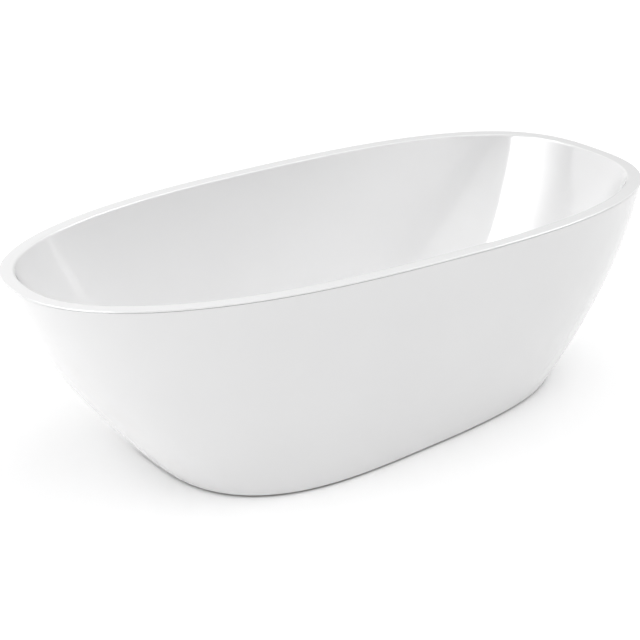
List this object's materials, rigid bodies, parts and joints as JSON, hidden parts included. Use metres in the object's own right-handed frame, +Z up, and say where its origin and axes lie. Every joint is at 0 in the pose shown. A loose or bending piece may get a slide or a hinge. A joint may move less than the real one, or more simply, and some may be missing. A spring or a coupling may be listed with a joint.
{
  "type": "freestanding bathtub",
  "caption": "Freestanding oval double-walled acrylic bathtub with a narrow flat rim, inward-sloping skirt, levelling feet, push-open drain and overflow.",
  "frame": {"origin": "centre of the footprint, on the floor", "axes": "+X along the tub to its slightly fuller end, +Z up, -Y the long side with the overflow"},
  "size_m": [1.7013, 0.8, 0.516],
  "materials": {
    "white_acrylic": "high gloss, pure white cast acrylic",
    "glass_fibre_laminate": "rough sprayed resin and chopped glass",
    "seam_filler": "satin, light grey in the joint's shadow",
    "base_board": "particle board",
    "softwood_blocks": "sawn softwood",
    "frame_steel": "satin grey powder coat",
    "zinc_fasteners": "zinc plated",
    "stainless_clips": "stainless band",
    "chrome_fittings": "polished chrome",
    "brass": "turned brass",
    "spring_steel": "stainless spring wire",
    "rubber_seals": "black sealing rubber",
    "sole_rubber": "non-slip rubber",
    "foot_plastic": "moulded nylon",
    "waste_plastic": "moulded polypropylene",
    "hose_plastic": "flexible hose"
  },
  "bodies": {
    "tub": {"base_board": "base_board", "basin": "white_acrylic", "basin_laminate": "glass_fibre_laminate", "block_screws": "zinc_fasteners", "board_screws": "zinc_fasteners", "drain_body": "waste_plastic", "drain_flange": "chrome_fittings", "drain_lower_seal": "rubber_seals", "drain_tail_nut": "waste_plastic", "drain_tail_washer": "rubber_seals", "drain_tailpiece": "waste_plastic", "drain_upper_seal": "rubber_seals", "foot_lock_nuts": "zinc_fasteners", "foot_weld_nuts": "zinc_fasteners", "frame_bolts": "zinc_fasteners", "frame_crossbars": "frame_steel", "frame_rail_back": "frame_steel", "frame_rail_front": "frame_steel", "hose_clips": "stainless_clips", "overflow_cover": "chrome_fittings", "overflow_elbow": "waste_plastic", "overflow_gasket": "rubber_seals", "overflow_hose": "hose_plastic", "overflow_rear_seal": "rubber_seals", "overflow_screw": "chrome_fittings", "rail_nuts": "zinc_fasteners", "rim_joint_bead": "seam_filler", "skirt": "white_acrylic", "skirt_blocks": "softwood_blocks", "skirt_laminate": "glass_fibre_laminate", "stopper_cartridge": "brass", "stopper_spring": "spring_steel"},
    "stopper": {"stopper_cap": "chrome_fittings", "stopper_stem": "brass", "stopper_seal": "rubber_seals"},
    "foot_pad_front_left": {"foot_pad_front_left": "foot_plastic", "foot_sole_front_left": "sole_rubber"},
    "foot_spindle_front_left": {"foot_spindle_front_left": "zinc_fasteners"},
    "foot_pad_front_right": {"foot_pad_front_right": "foot_plastic", "foot_sole_front_right": "sole_rubber"},
    "foot_spindle_front_right": {"foot_spindle_front_right": "zinc_fasteners"},
    "foot_pad_back_left": {"foot_pad_back_left": "foot_plastic", "foot_sole_back_left": "sole_rubber"},
    "foot_spindle_back_left": {"foot_spindle_back_left": "zinc_fasteners"},
    "foot_pad_back_right": {"foot_pad_back_right": "foot_plastic", "foot_sole_back_right": "sole_rubber"},
    "foot_spindle_back_right": {"foot_spindle_back_right": "zinc_fasteners"}
  },
  "joints": [
    {"name": "stopper_slide", "type": "slide", "parent": "tub", "child": "stopper", "axis": [0, 0, 1], "range_m": [0, 0.008], "deforming": ["stopper_spring"]},
    {"name": "foot_lift_front_left", "type": "slide", "parent": "tub", "child": "foot_pad_front_left", "axis": [0, 0, -1], "range_m": [-0.004, 0.012]},
    {"name": "foot_spin_front_left", "type": "hinge", "parent": "foot_pad_front_left", "child": "foot_spindle_front_left", "pos_m": [-0.4, -0.18, 0.012], "axis": [0, 0, -1], "range_deg": [-824, 2470]},
    {"name": "foot_lift_front_right", "type": "slide", "parent": "tub", "child": "foot_pad_front_right", "axis": [0, 0, -1], "range_m": [-0.004, 0.012]},
    {"name": "foot_spin_front_right", "type": "hinge", "parent": "foot_pad_front_right", "child": "foot_spindle_front_right", "pos_m": [0.4, -0.18, 0.012], "axis": [0, 0, -1], "range_deg": [-824, 2470]},
    {"name": "foot_lift_back_left", "type": "slide", "parent": "tub", "child": "foot_pad_back_left", "axis": [0, 0, -1], "range_m": [-0.004, 0.012]},
    {"name": "foot_spin_back_left", "type": "hinge", "parent": "foot_pad_back_left", "child": "foot_spindle_back_left", "pos_m": [-0.4, 0.18, 0.012], "axis": [0, 0, -1], "range_deg": [-824, 2470]},
    {"name": "foot_lift_back_right", "type": "slide", "parent": "tub", "child": "foot_pad_back_right", "axis": [0, 0, -1], "range_m": [-0.004, 0.012]},
    {"name": "foot_spin_back_right", "type": "hinge", "parent": "foot_pad_back_right", "child": "foot_spindle_back_right", "pos_m": [0.4, 0.18, 0.012], "axis": [0, 0, -1], "range_deg": [-824, 2470]}
  ],
  "couplings": [
    {"joint": "foot_spin_front_left", "follows": "foot_lift_front_left", "rad_per_m": 3590.4},
    {"joint": "foot_spin_front_right", "follows": "foot_lift_front_right", "rad_per_m": 3590.4},
    {"joint": "foot_spin_back_left", "follows": "foot_lift_back_left", "rad_per_m": 3590.4},
    {"joint": "foot_spin_back_right", "follows": "foot_lift_back_right", "rad_per_m": 3590.4}
  ]
}
